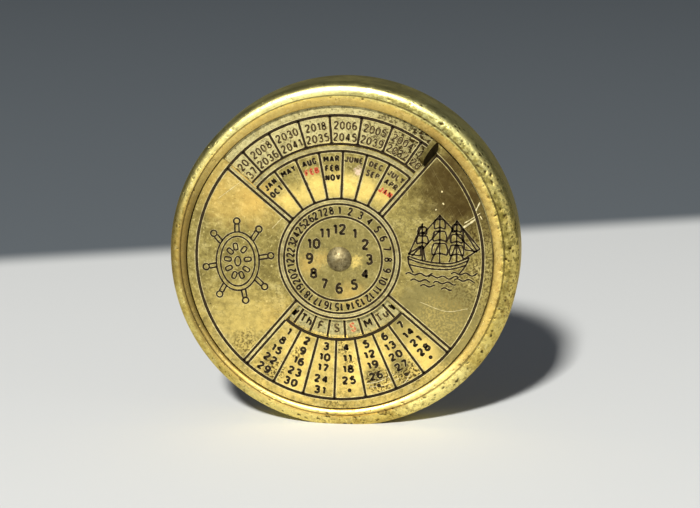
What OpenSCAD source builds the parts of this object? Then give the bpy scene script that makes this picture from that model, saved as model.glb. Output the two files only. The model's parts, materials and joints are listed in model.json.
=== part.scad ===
// Perpetual desk calendar: a heavy turned casing that stands on its side, a year disc fixed in the
// casing's recess, and a sheet face plate that turns over the disc on a central rivet. The plate
// is turned by its finger lug until the wanted year stands over the wanted month, and the weekdays
// then show in the lower window, above the columns of dates.
//
// The dial faces -Y, +Z is up, the flat under the casing rests on z = 0, and the origin is under the
// middle of the depth. Each piece is drawn lying down, in the dial's own frame: z = 0 is the front
// of the face plate, +Z points at the reader, +Y is up the dial, and angles run counter-clockwise
// from the right as the reader sees them.

/* [Casing] */
// Largest diameter of the casing, near its back
casing_d = 71.5; // [66:0.5:80]
// Depth of the casing, from the crest of the lip to the back
casing_depth = 12.4; // [9:0.1:16]
// Width of the rim, from the wall of the recess to the outside
rim_w = 4.6; // [4:0.05:6]
// Width of the rounded lip beside the recess
lip_w = 1.45; // [0.8:0.05:1.8]
// Height of the lip's round edge
lip_h = 0.5; // [0.2:0.05:0.7]
// Height of the lip's crest over the face plate
lip_rise = 0.35; // [0.1:0.05:0.5]
// Width of the turned line between lip and shoulder
crest_line_w = 0.16; // [0.1:0.02:0.3]
// Depth of the turned line between lip and shoulder
crest_line_h = 0.14; // [0.05:0.01:0.3]
// Depth of the round shoulder, front to back
shoulder_h = 1.8; // [1:0.1:3]
// Growth of the side's radius from the shoulder to the back
side_flare = 1.2; // [0:0.1:1.6]
// Radius of the round edge at the back
back_round = 1; // [0.4:0.1:2]
// Width of the flat foot ring at the back
foot_w = 5; // [3:0.5:10]
// Depth of the relief inside the foot ring
relief_h = 0.5; // [0.2:0.1:1]
// Depth of the flat that the casing stands on, under the dial
stand_flat_h = 1.5; // [1.2:0.05:1.8]

/* [Face plate] */
// Thickness of the face plate's sheet
plate_t = 0.8; // [0.5:0.05:1.2]
// Gap between the edge of the plate and the wall of the recess
edge_gap = 0.2; // [0.15:0.05:0.4]
// Turn of the plate from upright, counter-clockwise
plate_turn = 4.4; // [-20:0.1:20]
// Months shown side by side
months = 7; // [5:1:7]
// Plain margin between the outer circle and the edge of the plate
margin_w = 1.9; // [1:0.1:3]
// Width of the notch that shows the years, inside the outer circle
year_band_w = 5.95; // [5:0.05:7]
// Sheet left between the notch and the months
bridge_w = 1.1; // [0.8:0.1:2]
// Radius of the hub's outer circle
hub_r = 12.28; // [11:0.01:13]
// Distance between the hub's two outer circles
hub_band_w = 1.08; // [0.8:0.02:1.6]
// Width of the ring round the middle of the hub
legend_band_w = 2.55; // [2:0.05:3]
// Sheet left between the hub's outer circle and the weekday window
window_inset = 0.42; // [0.3:0.02:1]
// Width of the weekday window
window_w = 3.7; // [3:0.1:4.5]
// Width of the rebate along the window's outer edge
rebate_w = 0.5; // [0.3:0.05:0.8]
// Distance of each border line from the sector beside it
border_w = 0.95; // [0.7:0.05:1.4]

/* [Engraving] */
// Width of the cell lines
line_w = 0.36; // [0.2:0.02:0.5]
// Width of the circles round the hub
ring_w = 0.3; // [0.2:0.02:0.5]
// Width of the outer circle
outer_ring_w = 0.44; // [0.3:0.02:0.6]
// Depth of every engraved line
line_h = 0.12; // [0.05:0.01:0.2]

/* [Finger lug] */
// Height of the lug over the face plate
lug_h = 3.7; // [2.5:0.1:5]
// Angle through which the lug is bent up
lug_bend = 66; // [50:1:90]
// Inner radius of the bend
lug_bend_r = 0.4; // [0.2:0.05:1]
// Length of the bend, along the radius
lug_root_l = 3.5; // [2.5:0.1:5]
// Distance from the bend to the edge of the plate
lug_inset = 1.75; // [1.2:0.05:2.5]
// Reach of the lug's tip past the edge of the plate
lug_overhang = 0.8; // [0:0.1:1.5]
// Width of the slit cut beside each end of the bend
lug_slit = 0.2; // [0.1:0.05:0.4]

/* [Year disc] */
// Thickness of the year disc
disc_t = 0.8; // [0.5:0.05:1.2]
// Gap between the edge of the disc and the wall of the recess
disc_gap = 0.1; // [0.05:0.05:0.2]
// Cells round the disc
cells = 28; // [28:7:28]
// Turn of the disc's cells from upright, counter-clockwise
disc_turn = 4; // [-10:0.1:10]

/* [Rivet and washers] */
// Diameter of the rivet's shank
shank_d = 3; // [2:0.1:4]
// Running clearance round the shank, on the radius
run_gap = 0.05; // [0.02:0.01:0.1]
// Play between the rivet's head and the face plate
end_play = 0.05; // [0.02:0.01:0.2]
// Diameter of the domed head
head_d = 5; // [4.6:0.1:7]
// Height of the domed head
head_h = 1.35; // [0.8:0.05:2]
// Height of the straight edge of the head
head_edge_h = 0.25; // [0.1:0.05:0.5]
// Diameter of the spacer washer under the face plate
spacer_d = 10; // [6:0.5:16]
// Thickness of the spacer washer
spacer_t = 0.3; // [0.2:0.05:0.6]
// Diameter of the rear washer
rear_d = 7; // [5.5:0.5:9]
// Thickness of the rear washer
rear_t = 0.6; // [0.4:0.1:1]
// Diameter of the hammered tail
tail_d = 4.8; // [4.4:0.1:5.4]
// Height of the hammered tail
tail_h = 0.9; // [0.5:0.1:1.4]
// Clearance round the rear washer in its counterbore
rear_gap = 0.8; // [0.3:0.1:1.5]
// Depth of the tail below the back's relief
tail_sink = 0.4; // [0.2:0.1:1]

/* [Hidden] */
$fn = 120;
lip_steps = 9;
shoulder_steps = 14;
edge_steps = 6;
over = 1;

casing_r = casing_d / 2;
recess_r = casing_r - rim_w;
plate_r = recess_r - edge_gap;
disc_r = recess_r - disc_gap;
hole_r = shank_d / 2 + run_gap;

// Levels in the dial's frame
plate_back = -plate_t;
disc_front = plate_back - spacer_t;
floor_z = disc_front - disc_t;
back_z = lip_rise - casing_depth;
relief_z = back_z + relief_h;
tail_z = relief_z + tail_sink;
rear_seat_z = tail_z + tail_h + rear_t;

// Circles of the dial
outer_line_r = plate_r - margin_w;
notch_r = outer_line_r - year_band_w;
month_line_r = notch_r - bridge_w;
legend_out_r = hub_r - hub_band_w;
legend_in_r = legend_out_r - legend_band_w;
window_in_r = hub_r + window_inset;
window_out_r = window_in_r + window_w;
date_line_r = window_out_r + rebate_w;

// Angles of the dial
cell_angle = 360 / cells;
sector_angle = months * cell_angle;
notch_start = 90 + plate_turn - sector_angle / 2;
window_start = notch_start + 180;

// Front and back of the whole, which the origin lies midway between
face_y = (back_z + lug_h) / 2;

// A quarter of an ellipse about centre, from one angle to another
function ellipse_arc(centre, rx, ry, from, to, steps) =
    [for (i = [0:steps])
        let (a = from + (to - from) * i / steps)
        [centre[0] + rx * cos(a), centre[1] + ry * sin(a)]];

// A cubic curve with four control points
function bezier(p, steps) =
    [for (i = [0:steps])
        let (t = i / steps, s = 1 - t)
        s * s * s * p[0] + 3 * s * s * t * p[1] + 3 * s * t * t * p[2] + t * t * t * p[3]];

// Stands the dial's frame up on the flat of the casing, facing the reader
module stand() {
    translate([0, face_y, casing_r - stand_flat_h])
        rotate([90, 0, 0])
            children();
}

// A ring, or a piece of one, between two radii and two levels
module ring(r_in, r_out, low, high, start = 0, sweep = 360) {
    rotate([0, 0, start])
        rotate_extrude(angle = sweep)
            translate([r_in, low])
                square([r_out - r_in, high - low]);
}

// An engraved circle, or an arc of one, in a face at the given level
module arc_line(r, w, level, start = 0, sweep = 360) {
    ring(r - w / 2, r + w / 2, level - line_h, level + over, start, sweep);
}

// An engraved straight line, offset sideways from the radius at the given angle
module ray_line(angle, r_in, r_out, w, level, offset = 0) {
    rotate([0, 0, angle])
        translate([r_in, offset - w / 2, level - line_h])
            cube([r_out - r_in, w, line_h + over]);
}

// A ray for each boundary of a run of cells
module cell_lines(start, count, r_in, r_out, level) {
    for (i = [0:count])
        ray_line(start + i * cell_angle, r_in, r_out, line_w, level);
}

// Turned profile of the casing: recess, lip, crest line, shoulder, flared side, foot and relief
module casing_profile() {
    crest_r = recess_r + lip_w;
    shoulder_r = crest_r + crest_line_w;
    polygon(concat(
        [[0, floor_z], [recess_r, floor_z]],
        ellipse_arc([crest_r, lip_rise - lip_h], lip_w, lip_h, 180, 90, lip_steps),
        [[crest_r, lip_rise - crest_line_h], [shoulder_r, lip_rise - crest_line_h]],
        ellipse_arc([shoulder_r, lip_rise - shoulder_h], casing_r - side_flare - shoulder_r,
            shoulder_h, 90, 0, shoulder_steps),
        ellipse_arc([casing_r - back_round, back_z + back_round], back_round, back_round,
            0, -90, edge_steps),
        [[casing_r - foot_w, back_z], [casing_r - foot_w - relief_h, relief_z], [0, relief_z]]));
}

module casing() {
    color("goldenrod") stand()
        difference() {
            rotate_extrude() casing_profile();
            translate([0, 0, relief_z - over])
                cylinder(r = hole_r, h = floor_z - relief_z + 2 * over);
            translate([0, 0, relief_z - over])
                cylinder(r = rear_d / 2 + rear_gap, h = rear_seat_z - relief_z + over);
            translate([-casing_r, -casing_r - over, back_z - over])
                cube([casing_d, stand_flat_h + over, casing_depth + 2 * over]);
        }
}

// The years lie in the outer band and the weekdays in the inner one, a cell for each in the cycle
module year_disc() {
    first = 90 + disc_turn;
    color("khaki") stand()
        difference() {
            ring(hole_r, disc_r, floor_z, disc_front);
            arc_line(outer_line_r, outer_ring_w, disc_front);
            arc_line(notch_r + line_w / 2, line_w, disc_front);
            cell_lines(first, cells - 1, notch_r, outer_line_r, disc_front);
            cell_lines(first, cells - 1, window_in_r, window_out_r, disc_front);
        }
}

module spacer_washer() {
    color("silver") stand()
        ring(hole_r, spacer_d / 2, disc_front, plate_back);
}

// The border lines run outside each sector, side by side with its edges
module border_lines(start) {
    reach = sqrt(outer_line_r * outer_line_r - border_w * border_w);
    root = sqrt(hub_r * hub_r - border_w * border_w);
    ray_line(start, root, reach, line_w, 0, -border_w);
    ray_line(start + sector_angle, root, reach, line_w, 0, border_w);
}

module hub_lines() {
    arc_line(hub_r, ring_w, 0);
    arc_line(legend_out_r, ring_w, 0);
    arc_line(legend_in_r, ring_w, 0);
}

module month_lines() {
    arc_line(month_line_r, line_w, 0, notch_start, sector_angle);
    cell_lines(notch_start, months, hub_r, month_line_r, 0);
    border_lines(notch_start);
}

module date_lines() {
    ring(window_out_r - over, date_line_r, -line_h, over, window_start, sector_angle);
    cell_lines(window_start, months, window_out_r, outer_line_r, 0);
    border_lines(window_start);
}

// Outline of the lug along the radius and up from the plate: a fin that leans out over the lip
module lug_outline() {
    root_out = plate_r - lug_inset;
    root_in = root_out - lug_root_l;
    tip = plate_r + lug_overhang;
    crest = tip - 0.12 * lug_root_l;
    polygon(concat(
        [[root_out, -over - plate_t], [root_in, -over - plate_t]],
        bezier([[root_in, 0], [root_in + 0.2, 0.75 * lug_h], [root_out - 1, lug_h],
            [crest, lug_h]], 12),
        bezier([[crest, lug_h], [tip, lug_h], [tip, 0.5 * lug_h], [root_out, 0]], 10)));
}

// The lug is a tongue of the plate's own sheet, bent up along the notch's border line
module finger_lug() {
    root_out = plate_r - lug_inset;
    blank_l = lug_root_l + lug_inset + lug_overhang;
    blank_start = root_out - lug_root_l;
    rotate([0, 0, notch_start])
        intersection() {
            translate([0, -border_w, lug_bend_r])
                rotate([0, 90, 0]) {
                    rotate_extrude(angle = lug_bend)
                        translate([lug_bend_r, blank_start])
                            square([plate_t, blank_l]);
                    rotate([0, 0, lug_bend])
                        translate([lug_bend_r, 0, blank_start])
                            cube([plate_t, (lug_h + plate_t) / sin(lug_bend), blank_l]);
                }
            translate([0, lug_h + plate_t, 0])
                rotate([90, 0, 0])
                    linear_extrude(2 * (lug_h + plate_t))
                        lug_outline();
        }
}

// Room in the sheet where the lug's tongue was before it was bent up, with a slit at each end
module lug_room() {
    room_l = lug_root_l + 2 * lug_slit;
    rotate([0, 0, notch_start])
        translate([plate_r - lug_inset + lug_slit - room_l, -border_w, plate_back - over])
            cube([room_l, border_w + over, plate_t + 2 * over]);
}

module face_plate() {
    color("gold") stand() {
        difference() {
            ring(hole_r, plate_r, plate_back, 0);
            ring(notch_r, plate_r + over, plate_back - over, over, notch_start, sector_angle);
            ring(window_in_r, window_out_r, plate_back - over, over, window_start, sector_angle);
            arc_line(outer_line_r, outer_ring_w, 0);
            hub_lines();
            month_lines();
            date_lines();
            lug_room();
        }
        finger_lug();
    }
}

module centre_rivet() {
    head_r = head_d / 2;
    dome_h = head_h - head_edge_h;
    dome_r = (head_r * head_r + dome_h * dome_h) / (2 * dome_h);
    color("tan") stand() {
        translate([0, 0, end_play])
            intersection() {
                cylinder(r = head_r, h = head_h);
                translate([0, 0, head_h - dome_r])
                    sphere(r = dome_r);
            }
        translate([0, 0, tail_z])
            cylinder(r = shank_d / 2, h = end_play - tail_z);
        translate([0, 0, tail_z])
            cylinder(r = tail_d / 2, h = tail_h);
    }
}

module rear_washer() {
    color("silver") stand()
        ring(hole_r, rear_d / 2, rear_seat_z - rear_t, rear_seat_z);
}

casing();
year_disc();
spacer_washer();
face_plate();
centre_rivet();
rear_washer();
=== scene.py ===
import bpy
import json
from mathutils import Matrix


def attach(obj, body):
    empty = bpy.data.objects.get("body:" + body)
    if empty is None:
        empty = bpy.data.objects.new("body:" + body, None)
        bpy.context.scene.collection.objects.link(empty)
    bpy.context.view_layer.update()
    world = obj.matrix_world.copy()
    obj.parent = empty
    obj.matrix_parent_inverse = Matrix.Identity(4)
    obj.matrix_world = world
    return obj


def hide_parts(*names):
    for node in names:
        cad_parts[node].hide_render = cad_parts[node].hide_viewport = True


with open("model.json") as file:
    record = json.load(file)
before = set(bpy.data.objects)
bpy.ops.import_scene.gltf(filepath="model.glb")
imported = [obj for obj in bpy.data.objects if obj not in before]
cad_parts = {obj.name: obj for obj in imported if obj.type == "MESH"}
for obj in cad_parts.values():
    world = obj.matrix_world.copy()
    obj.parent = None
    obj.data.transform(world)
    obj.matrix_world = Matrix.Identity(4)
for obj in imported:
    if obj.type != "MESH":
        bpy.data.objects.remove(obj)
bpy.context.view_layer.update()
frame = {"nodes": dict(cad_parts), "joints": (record.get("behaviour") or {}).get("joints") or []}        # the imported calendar, in metres; every piece below sits in its frame

import datetime
import json
from math import cos, radians, sin

import bpy
import numpy as np
from mathutils import Vector

print("stage: frame loaded")

# The dial's centre is the point that the plate turns about. Dial millimetres are x to the
# reader's right, y up the dial and z towards the reader, with z = 0 on the face plate.
dialCentre = np.array(frame["joints"][0]["pos_m"])
rng = np.random.default_rng(1971)

# Radii, levels (mm) and angles (degrees) that the frame's parts were made with
dial = {
    "outerLine": 29.05, "notch": 23.1, "monthLine": 22.0, "dateLine": 16.9, "windowOut": 16.4,
    "windowIn": 12.7, "hub": 12.28, "numberOut": 11.2, "numberIn": 8.65, "border": 0.95,
    "lineWidth": 0.36, "ringWidth": 0.3, "outerWidth": 0.44, "discFace": -1.1, "cells": 28,
    "shown": 7, "notchStart": 49.4, "windowStart": 229.4, "discStart": 94.0,
}
dial["cell"] = 360 / dial["cells"]
dial["sector"] = dial["shown"] * dial["cell"]

# The level, body and slot of what lies on the plate and on the disc
onPlate = (0.0, "plate", "plate_brass")
onDisc = (dial["discFace"], "base", "disc_brass")


def toRow(points):
    # row = centre + (x, -z, y) / 1000
    p = np.asarray(points, float)
    return dialCentre + np.stack([p[..., 0], -p[..., 2], p[..., 1]], -1) / 1000


def polar(radius, degrees):
    # x = r cos a, y = r sin a
    a = np.radians(np.asarray(degrees, float))
    return np.stack(np.broadcast_arrays(radius * np.cos(a), radius * np.sin(a)), -1)


def spots(text):
    # the rows of numbers of a text such as "0,0 50,100"
    return np.array([spot.split(",") for spot in text.split()], float)


def gridFaces(rows, columns, wrapRows=False, wrapColumns=False):
    # each quad joins (i, j), (i, j+1), (i+1, j+1) and (i+1, j)
    i, j = np.meshgrid(np.arange(rows - (not wrapRows)), np.arange(columns - (not wrapColumns)),
                       indexing="ij")
    i2, j2 = (i + 1) % rows, (j + 1) % columns
    return np.stack([i * columns + j, i * columns + j2, i2 * columns + j2, i2 * columns + j],
                    -1).reshape(-1, 4)


def joined(parts):
    # stacks (points, faces) pairs into one, each part's faces counted on from the last
    points, faces, count = [], [], 0
    for p, f in parts:
        points.append(np.asarray(p, float).reshape(-1, 3))
        faces.extend((np.asarray(g) + count).tolist() for g in f)
        count += len(points[-1])
    return np.concatenate(points), faces


def linked(name, data):
    thing = bpy.data.objects.new(name, data)
    bpy.context.scene.collection.objects.link(thing)
    return thing


def addPiece(name, points, faces, look, body, slotName, sharpAngle=None):
    mesh = bpy.data.meshes.new(name)
    mesh.from_pydata(toRow(points).tolist(), [], faces)
    mesh.update()
    if sharpAngle:
        mesh.shade_smooth()
        mesh.set_sharp_from_angle(angle=radians(sharpAngle))
    mesh.materials.append(look)
    piece = linked(name, mesh)
    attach(piece, body)
    return piece


def arcPath(radius, start=0, sweep=360, step=0.25):
    # points on a circle, a step of arc apart; a whole circle leaves out its last point
    count = max(int(abs(radians(sweep)) * radius / step), 2)
    path = polar(radius, start + sweep * np.linspace(0, 1, count + 1))
    return path[:-1] if sweep == 360 else path


def rayPath(angle, inner, outer, offset=0, step=0.4):
    # a radius at the angle, moved sideways by the offset
    count = max(int((outer - inner) / step), 2)
    along = np.linspace(inner, outer, count + 1)
    a = radians(angle)
    return np.stack([along * cos(a) - offset * sin(a), along * sin(a) + offset * cos(a)], -1)


def curvePath(points, step=0.15, closed=False):
    # Catmull-Rom: each span is the cubic through its ends with the neighbours' chords as slopes
    p = np.asarray(points, float)
    ends = (p[-1:], p[:1], p[1:2]) if closed else (2 * p[:1] - p[1:2], 2 * p[-1:] - p[-2:-1])
    q = np.concatenate([ends[0], p, *ends[1:]])
    spans = []
    for a, b, c, d in zip(q[:-3], q[1:-2], q[2:-1], q[3:]):
        t = np.linspace(0, 1, max(int(np.linalg.norm(c - b) / step), 1), endpoint=False)[:, None]
        spans.append(0.5 * (2 * b + (c - a) * t + (2 * a - 5 * b + 4 * c - d) * t ** 2
                            + (3 * b - a - 3 * c + d) * t ** 3))
    return np.concatenate(spans + ([] if closed else [p[-1:]]))


def pathLength(path):
    # the distance along the path to each of its points
    return np.concatenate([[0], np.cumsum(np.linalg.norm(np.diff(path, axis=0), axis=1))])


def leftOf(path, closed):
    # the unit vector square to the path, on its left: (-ty, tx) of the tangent t
    tangent = np.roll(path, -1, 0) - np.roll(path, 1, 0) if closed else np.gradient(path, axis=0)
    tangent /= np.linalg.norm(tangent, axis=1)[:, None]
    return np.stack([-tangent[:, 1], tangent[:, 0]], -1)


def withEndPoints(path, width):
    # adds points close to both ends, where a round end needs them
    s = pathLength(path)
    extra = width * np.array([0.03, 0.1, 0.2, 0.33])
    at = np.unique(np.concatenate([s, extra, s[-1] - extra]).clip(0, s[-1]).round(6))
    return np.stack([np.interp(at, s, path[:, 0]), np.interp(at, s, path[:, 1])], -1)


def barAlong(path, width, low, high, wobble=0.0, closed=False, roundEnds=False):
    # A flat bar carried along a path: at distance s its half width is
    # w/2 (1 + wobble * slow noise(s)), times sqrt(1 - (1 - 2s/w)^2) within w/2 of a round end
    path = np.asarray(path, float)
    if roundEnds:
        path = withEndPoints(path, width)
    side, s = leftOf(path, closed), pathLength(path)
    half = np.full(len(path), width / 2)
    if wobble:
        knots = np.arange(0, s[-1] + 1.0, 0.45)
        noise = rng.uniform(-1, 1, len(knots))
        if closed:
            noise[-2:] = noise[0]
        half *= 1 + wobble * np.interp(s, knots, noise)
    if roundEnds:
        near = np.clip(np.minimum(s, s[-1] - s) / (width / 2), 0, 1)
        half *= np.sqrt(np.clip(1 - (1 - near) ** 2, 0.02, 1))
    left, right = path + side * half[:, None], path - side * half[:, None]
    levels = [(left, low), (left, high), (right, high), (right, low)]
    points = np.stack([np.column_stack([p, np.full(len(p), z)]) for p, z in levels], 1)
    faces = gridFaces(len(path), 4, closed, True).tolist()
    if not closed:
        last = 4 * (len(path) - 1)
        faces += [[0, 3, 2, 1], [last, last + 1, last + 2, last + 3]]
    return points, faces


def paint(red, green, blue):
    # a screen colour, 0 to 255, as the linear colour that renders as it
    return tuple(((v / 255 + 0.055) / 1.055) ** 2.4 for v in (red, green, blue)) + (1.0,)


def wire(kind, ins, out=0, beside=None, **settings):
    # adds a node beside a socket or its own inputs, sets or links these and gives one output
    sockets = [v for v in (beside, *ins.values()) if isinstance(v, bpy.types.NodeSocket)]
    tree = sockets[0].id_data
    made = tree.nodes.new("ShaderNode" + kind)
    for key, value in settings.items():
        setattr(made, key, value)
    for key, value in ins.items():
        if isinstance(value, bpy.types.NodeSocket):
            tree.links.new(value, made.inputs[key])
        else:
            made.inputs[key].default_value = value
    return made.outputs[out]


def feed(shader, socket, value):
    value.id_data.links.new(value, shader.inputs[socket])


def mixed(share, a, b):
    return wire("Mix", {0: share, 6: a, 7: b}, 2, data_type="RGBA")


def summed(a, b, how="ADD"):
    return wire("Math", {0: a, 1: b}, operation=how)


def times(a, b):
    return summed(a, b, "MULTIPLY")


def measured(how, *vectors):
    # the LENGTH of a vector, or the DISTANCE or DOT_PRODUCT of two
    return wire("VectorMath", dict(enumerate(vectors)), 1, operation=how)


def coordinate(place, axis):
    return wire("SeparateXYZ", {0: place}, axis)


def remap(value, low, high, toLow=0.0, toHigh=1.0):
    ins = {"Value": value, "From Min": low, "From Max": high, "To Min": toLow, "To Max": toHigh}
    return wire("MapRange", ins, interpolation_type="SMOOTHSTEP")


def cloud(place, scale, detail=4.0, rough=0.55, stretch=None, turn=0.0):
    if stretch:        # a texture mapping turns first and then divides by the scale
        place = wire("Mapping", {"Vector": place, "Rotation": (0, radians(turn), 0),
                                 "Scale": stretch}, vector_type="TEXTURE")
    ins = {"Vector": place, "Scale": scale, "Detail": detail, "Roughness": rough}
    return wire("TexNoise", ins)


def startLook(name):
    # a material with Object coordinates in dial millimetres: (x, -z, y) of the dial
    look = bpy.data.materials.new(name)
    look.use_nodes = True
    tree = look.node_tree
    tree.nodes.clear()
    shader = tree.nodes.new("ShaderNodeBsdfPrincipled")
    output = tree.nodes.new("ShaderNodeOutputMaterial")
    tree.links.new(shader.outputs[0], output.inputs[0])
    coords = tree.nodes.new("ShaderNodeTexCoord").outputs["Object"]
    place = wire("Mapping", {"Vector": coords, "Scale": (1000, 1000, 1000),
                             "Location": tuple(-1000 * dialCentre)})
    return look, shader, place


def brassLook(name, spec):
    # two tones in slow clouds, dark grain, bright flecks, dark specks, then listed patches
    look, shader, place = startLook(name)
    flat = wire("Mapping", {"Vector": place, "Scale": (1, spec["depthScale"], 1)})
    slow = remap(cloud(flat, spec["cloudScale"], 6, 0.65), 0.38, 0.64)
    colour = mixed(slow, spec["bright"], spec["dull"])
    if "low" in spec:        # the lower part is tinted lighter and more golden
        lower = remap(summed(coordinate(place, "Z"), times(slow, 7.0)), 2, -16)
        colour = mixed(times(lower, spec["lowShare"]), colour, spec["low"])
    if "streakTurn" in spec:        # wiped streaks, long one way
        streaks = cloud(place, 0.42, 6, 0.6, (2.0, 1, 0.9), spec["streakTurn"])
        colour = mixed(remap(streaks, 0.5, 0.68, 0, 0.4), colour, spec["fresh"])
        colour = mixed(remap(streaks, 0.5, 0.32, 0, 0.42), colour, spec["stain"])
    grain = cloud(flat, spec["grainScale"], 9, 0.72)
    colour = mixed(remap(grain, 0.42, 0.64, 0, spec["grainShare"]), colour, spec["stain"])
    flecks = remap(cloud(flat, spec["fleckScale"], 7, 0.7), 0.55, 0.64)
    colour = mixed(times(flecks, spec["fleckShare"]), colour, spec["fresh"])
    specks = remap(cloud(flat, spec["speckScale"], 4, 0.55), spec["speckFrom"],
                   spec["speckFrom"] + 0.04)
    colour = mixed(times(specks, spec["speckShare"]), colour, spec["dark"])
    rough = remap(slow, 0, 1, *spec["rough"])
    if spec["patches"]:
        wide, fine = cloud(place, 0.45, 7, 0.62), cloud(place, 1.6, 6, 0.65)
        speckled = remap(cloud(flat, spec["patchScale"], 6, 0.6), 0.48, 0.55)
    for tone, text, *pitted in spec["patches"]:
        for x, y, radius, soft, ragged, share in spots(text):
            far = measured("DISTANCE", place, (x, 0, y))
            edge = summed(wide if radius > 2.2 else fine, 0.5, "SUBTRACT")
            far = summed(far, times(edge, ragged))
            mask = remap(far, radius + soft, radius - soft, 0, share)
            if pitted:
                mask = times(mask, speckled)
            colour = mixed(mask, colour, tone)
            rough = summed(rough, times(mask, 0.12))
    lines = None
    for turn in spec["scratchTurns"]:
        line = remap(cloud(place, 1.0, 2, 0.4, (9, 1, 0.16), turn), 0.66, 0.71)
        lines = line if lines is None else summed(lines, line, "MAXIMUM")
    if lines is not None:
        colour = mixed(times(lines, spec["scratchShare"]), colour, spec["fresh"])
    height = summed(grain, times(specks, 0.7), "SUBTRACT")
    bump = wire("Bump", {"Height": height, "Strength": spec["bump"], "Distance": 0.00005})
    feed(shader, "Base Color", colour)
    feed(shader, "Roughness", rough)
    feed(shader, "Normal", bump)
    shader.inputs["Metallic"].default_value = 1.0
    return look, shader, place, colour


def enamelLook(name, spec):
    # filling with matt worn places, where brass or dust shows through
    look, shader, place = startLook(name)
    worn = remap(cloud(place, spec["wearScale"], 4, 0.6), spec["wearFrom"],
                 spec["wearFrom"] + 0.08)
    tone = mixed(cloud(place, 1.4, 3), spec["deep"], spec["light"])
    colour = mixed(times(worn, spec["wearShare"]), tone, spec["bare"])
    bump = wire("Bump", {"Height": cloud(place, 6.0, 3), "Strength": 0.4, "Distance": 0.00002})
    feed(shader, "Base Color", colour)
    feed(shader, "Normal", bump)
    shader.inputs["Roughness"].default_value = spec["rough"]
    shader.inputs["Specular IOR Level"].default_value = 0.15
    return look


# Patches are a colour and x,y,radius,softness,raggedness (mm),share of each of them, and True if
# they are speckled. A pair under "rough" is the roughness of the bright and of the dull clouds.
umber, olive, gold, tan = (paint(58, 45, 22), paint(122, 113, 70), paint(244, 216, 124),
                           paint(224, 186, 100))
moss, bronze, lemonHighlight = paint(104, 94, 40), paint(104, 76, 28), paint(255, 242, 160)
brassFinish = {"depthScale": 0.2, "patchScale": 2.0, "patches": [], "scratchTurns": (),
               "scratchShare": 0.0, "bump": 0.8}
plateFinish = dict(
    brassFinish, bright=paint(178, 162, 94), dull=paint(132, 120, 68), low=paint(226, 200, 114),
    lowShare=0.85, stain=paint(88, 77, 40), dark=umber, fresh=paint(232, 216, 146),
    cloudScale=0.2, streakTurn=28, grainScale=1.0, grainShare=0.6, fleckScale=1.5,
    fleckShare=0.45, speckScale=2.3, speckFrom=0.65, speckShare=0.7, rough=(0.34, 0.48),
    scratchTurns=(62, -48), scratchShare=0.07, patches=[
        (gold, "0,14.8,2.8,1.9,3,0.6 -4.9,14.2,2.8,1.9,3,0.6 -9.4,11.4,2.8,1.9,3,0.5 "
         "4.8,14.3,2.6,1.8,3,0.55 9.2,12.4,2.2,1.6,3,0.45 -8,-22.4,6,3,4,0.45 5.4,-21.6,6,3,4,0.5 "
         "-20,-12,5,3,5,0.3"), (tan, "-21,13,6.5,3,5,0.38 -15,10.5,4,2.5,4,0.25"),
        (olive, "-21,-15,7,3,5,0.3"), (tan, "-12.5,-12,3.4,2,4,0.2"),
        (olive, "0,0,11.8,0.5,0.6,0.55 20,-12,9.5,2.5,6,0.85"), (olive, "16,7,5,2,5,0.45", True),
        (umber, "22.5,15,7.6,2.4,8,0.72 23.6,13,4.6,1.6,7,0.6 20.2,18.6,3.6,1.4,6,0.6 "
         "28.6,9,5,1.6,5,0.6"),
        (umber, "26.5,4,3,1.5,6,0.6 29.6,6,3.6,1.5,4,0.6 30.2,-1,3.6,1.5,4,0.6 "
         "26,-6,6,2.5,9,0.5", True), (gold, "21,-13,5.5,2.4,9,0.2", True),
        (umber, "-19,-17.6,2.4,0.8,5,0.6", True),
        (gold, "16.6,-19.4,3.4,1.6,2,0.55 14.2,-15.6,2.4,1.6,2,0.25"),
        (umber, "-14.6,-20.7,0.9,0.4,2,0.4"),
        (olive, "7.2,-24,2.1,0.8,3,0.8 12.3,-21.8,1.9,0.7,3,0.8"),
        (umber, "8,-25,2.8,0.7,4,0.95 14,-23.2,2.8,0.7,4,0.95 -13.2,-23,2.2,0.7,3,0.9 "
         "-8.6,-19.6,1.3,0.5,2,0.8 0.6,-18.4,1.5,0.5,2,0.8 2.2,-21.4,1.2,0.5,2,0.7 "
         "-0.5,-30,2.4,1,4,0.5", True), (paint(238, 210, 190), "3.9,17.9,0.7,0.5,3.6,0.7"),
        (gold, "3.3,-0.5,0.9,0.9,5,0.55"),
        (tan, "-3.6,0.2,1.2,1.2,5,0.3 -6.4,-1.5,2,1.6,5,0.3 2.5,-7.6,2.4,1.6,5,0.3")])
discFinish = dict(
    brassFinish, bright=paint(196, 186, 132), dull=paint(160, 150, 102), stain=paint(98, 90, 56),
    dark=paint(52, 44, 26), fresh=paint(226, 218, 176), cloudScale=0.3, patchScale=1.5,
    grainScale=1.5, grainShare=0.55, fleckScale=2.2, fleckShare=0.35, speckScale=2.6,
    speckFrom=0.63, speckShare=0.6, rough=(0.42, 0.55), scratchTurns=(10,), scratchShare=0.2,
    patches=[
        (olive, "13,22.5,8,3,6,0.55"), (paint(46, 37, 18), "17,21,7.4,1.6,5,1", True),
        (paint(58, 46, 24), "17.4,20.6,5.4,1.6,4,0.3"),
        (paint(78, 68, 42), "9,25.5,4.4,1.6,5,0.8", True)])
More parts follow.
